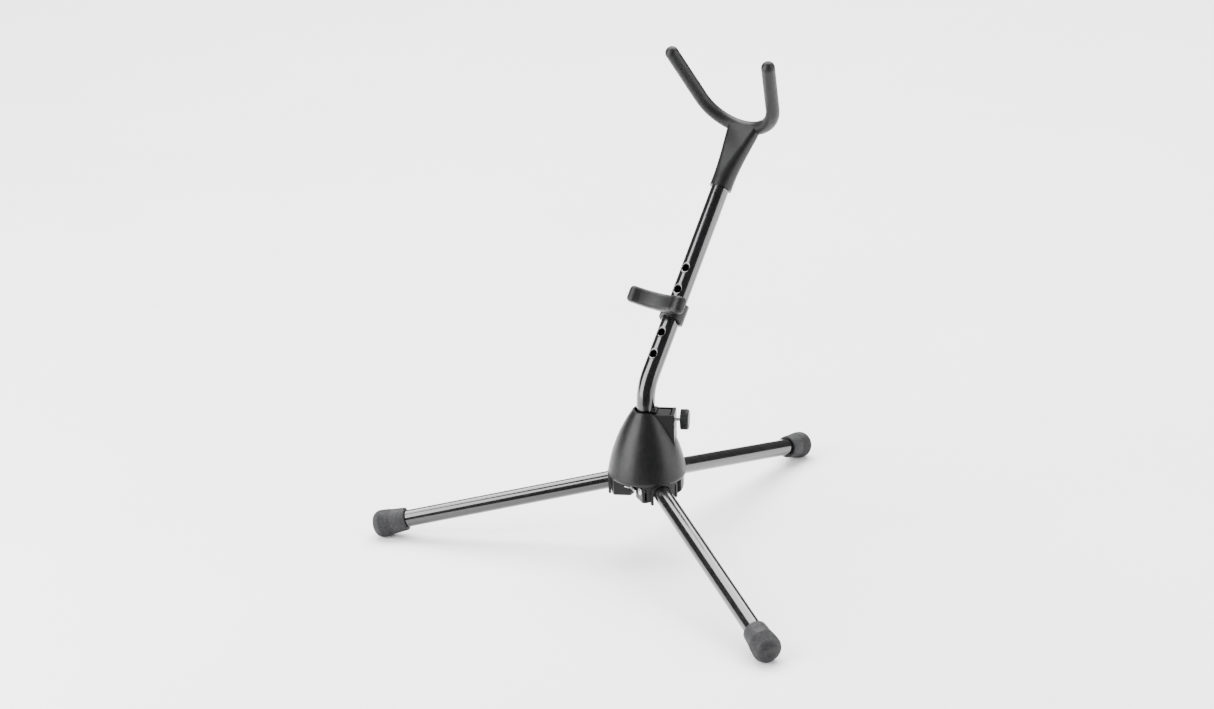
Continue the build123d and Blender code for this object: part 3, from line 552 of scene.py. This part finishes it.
# ---------------------------------------------------------------- knob

def make_knob():
    """The knurled knob: a ridged rim, a rounded edge and a shallow dome on its face."""
    joint = JOINTS["knob_turn"]
    axis = Vector(joint["axis"]).normalized()
    through = Vector(joint["pos_m"])
    low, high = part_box("knob")
    middle = (low + high) / 2
    radius = (high.z - low.z) / 2
    length = (high.x - low.x - 2 * radius * abs(axis.y)) / abs(axis.x)
    origin = through + axis * ((middle - through).dot(axis) - length / 2)
    edge = KNOB_EDGE
    back_centre = (KNOB_BACK_EDGE, radius - KNOB_BACK_EDGE)
    profile = [(0.0, KNOB_BORE), (0.0, radius - KNOB_BACK_EDGE)]
    profile += arc_points(back_centre, KNOB_BACK_EDGE, 180, 90, 5)
    profile += [(length * share, radius) for share in (0.25, 0.4, 0.55)]
    profile += arc_points((length - edge, radius - edge), edge, 90, 12, 9)
    # The face: a shallow ring groove inside the edge, then a low dome. The last two points are inside.
    profile += [
        (length - 0.0003, radius - edge - 0.0006),
        (length - 0.0006, radius - edge - 0.0010),
        (length - 0.0004, radius - edge - 0.0016),
        (length - 0.0002, radius * 0.42),
        (length, 0.0),
        (length - 0.002, 0.0),
        (length - 0.003, KNOB_BORE),
    ]

    def ridges(angle, along, reach):
        """Grip ridges on the rim that fade out over the rounded edge."""
        fade = max(0.0, min(1.0, (length - along - RIM_FADE_START) / RIM_FADE_LENGTH))
        outer = max(0.0, min(1.0, (reach - radius + DEEP_FADE_END) / DEEP_FADE_LENGTH))
        wave = 0.5 - 0.5 * cos(KNOB_RIDGES * angle)
        return RIDGE_DEPTH * fade * outer * wave ** 0.7

    knob = revolved(
        "ridged_knob", profile, origin, axis, KNOB_RIDGES * 8,
        "knob_plastic", "clamp_knob", ripple=ridges,
    )
    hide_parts("knob")


# ---------------------------------------------------------------- studio

def make_floor():
    """A wide pale floor, left out of the object."""
    size = FLOOR_HALF_SIZE
    level = cad_box[0].z - FLOOR_DROP
    mesh = bpy.data.meshes.new("studio_floor")
    corners = [(-size, -size, level), (size, -size, level), (size, size, level), (-size, size, level)]
    mesh.from_pydata(corners, [], [(0, 1, 2, 3)])
    floor = bpy.data.objects.new("studio_floor", mesh)
    bpy.context.scene.collection.objects.link(floor)
    mesh.materials.append(pale_floor())


def softbox(name, position, target, width, height, power):
    """A rectangular area light that faces a point."""
    light = bpy.data.lights.new(name, "AREA")
    light.shape = "RECTANGLE"
    light.size = width
    light.size_y = height
    light.energy = power
    lamp = bpy.data.objects.new(name, light)
    bpy.context.scene.collection.objects.link(lamp)
    lamp.location = position
    lamp.rotation_mode = "QUATERNION"
    lamp.rotation_quaternion = (Vector(target) - Vector(position)).to_track_quat("-Z", "Y")


def make_lights(right, flat_back):
    """Soft boxes on both sides and overhead, and the even light of the surroundings."""
    centre = (cad_box[0] + cad_box[1]) / 2
    up = Vector((0, 0, 1))
    left_place = centre - right * 1.7 + flat_back * 0.75 + up * 0.5
    softbox("left_box", left_place, centre, width=1.5, height=2.6, power=165)
    right_place = centre + right * 1.9 + flat_back * 0.5 + up * 0.4
    softbox("right_box", right_place, centre, width=1.7, height=2.4, power=80)
    top_place = centre - flat_back * 2.2 + up * 3.6
    softbox("top_box", top_place, centre - flat_back * 1.2, width=6.0, height=4.0, power=1000)
    world = bpy.data.worlds.new("studio_world")
    bpy.context.scene.world = world
    world.use_nodes = True
    tree = world.node_tree
    tree.nodes["Background"].inputs["Color"].default_value = (1, 1, 1, 1)
    seen = tree.nodes.new("ShaderNodeLightPath")
    tree.links.new(
        spread(tree, seen.outputs["Is Camera Ray"], WORLD_LIGHT, WORLD_SEEN, 0.0, 1.0),
        tree.nodes["Background"].inputs["Strength"],
    )


def make_dark_card(right, flat_back):
    """A dark card on the floor before the stand: only reflections see it, and it keeps them dark."""
    centre = (cad_box[0] + cad_box[1]) / 2
    centre.z = cad_box[0].z + CARD_HEIGHT
    corners = []
    for distance, half_width in CARD_ENDS:
        for side in (-1, 1):
            corners.append(centre + flat_back * distance + right * (side * half_width))
    mesh = bpy.data.meshes.new("dark_card")
    mesh.from_pydata([tuple(corner) for corner in corners], [], [(0, 1, 3, 2)])
    card = bpy.data.objects.new("dark_card", mesh)
    bpy.context.scene.collection.objects.link(card)
    mesh.materials.append(new_material("card_black", (0.008, 0.008, 0.008), 0.9)[0])
    card.visible_camera = False
    card.visible_diffuse = False
    card.visible_shadow = False
    card.visible_transmission = False


def make_camera():
    """The camera stands at its angles, moved sideways and up by its offset.

    The level ways to its right and back towards it are returned, for placing the studio.
    """
    turn = CAMERA_AZIMUTH
    lift = CAMERA_ELEVATION
    back = Vector((sin(turn) * cos(lift), -cos(turn) * cos(lift), sin(lift)))
    level_right = Vector((cos(turn), sin(turn), 0))
    level_up = back.cross(level_right)
    right = cos(CAMERA_ROLL) * level_right + sin(CAMERA_ROLL) * level_up
    up = cos(CAMERA_ROLL) * level_up - sin(CAMERA_ROLL) * level_right
    data = bpy.data.cameras.new("photo_camera")
    data.lens = CAMERA_LENS
    data.sensor_width = 36.0
    data.clip_start = 0.05
    data.clip_end = 60.0
    camera = bpy.data.objects.new("photo_camera", data)
    bpy.context.scene.collection.objects.link(camera)
    place = back * CAMERA_DISTANCE + right * CAMERA_OFFSET[0] + up * CAMERA_OFFSET[1]
    axes = Matrix((right, up, back)).transposed().to_4x4()
    camera.matrix_world = Matrix.Translation(place) @ axes
    bpy.context.scene.camera = camera
    return level_right, Vector((back.x, back.y, 0)).normalized()


finish_cad_nodes()
make_feet()
make_pad()
make_hole_lips()
make_knob()
make_floor()
studio_ways = make_camera()
make_dark_card(*studio_ways)
make_lights(*studio_ways)
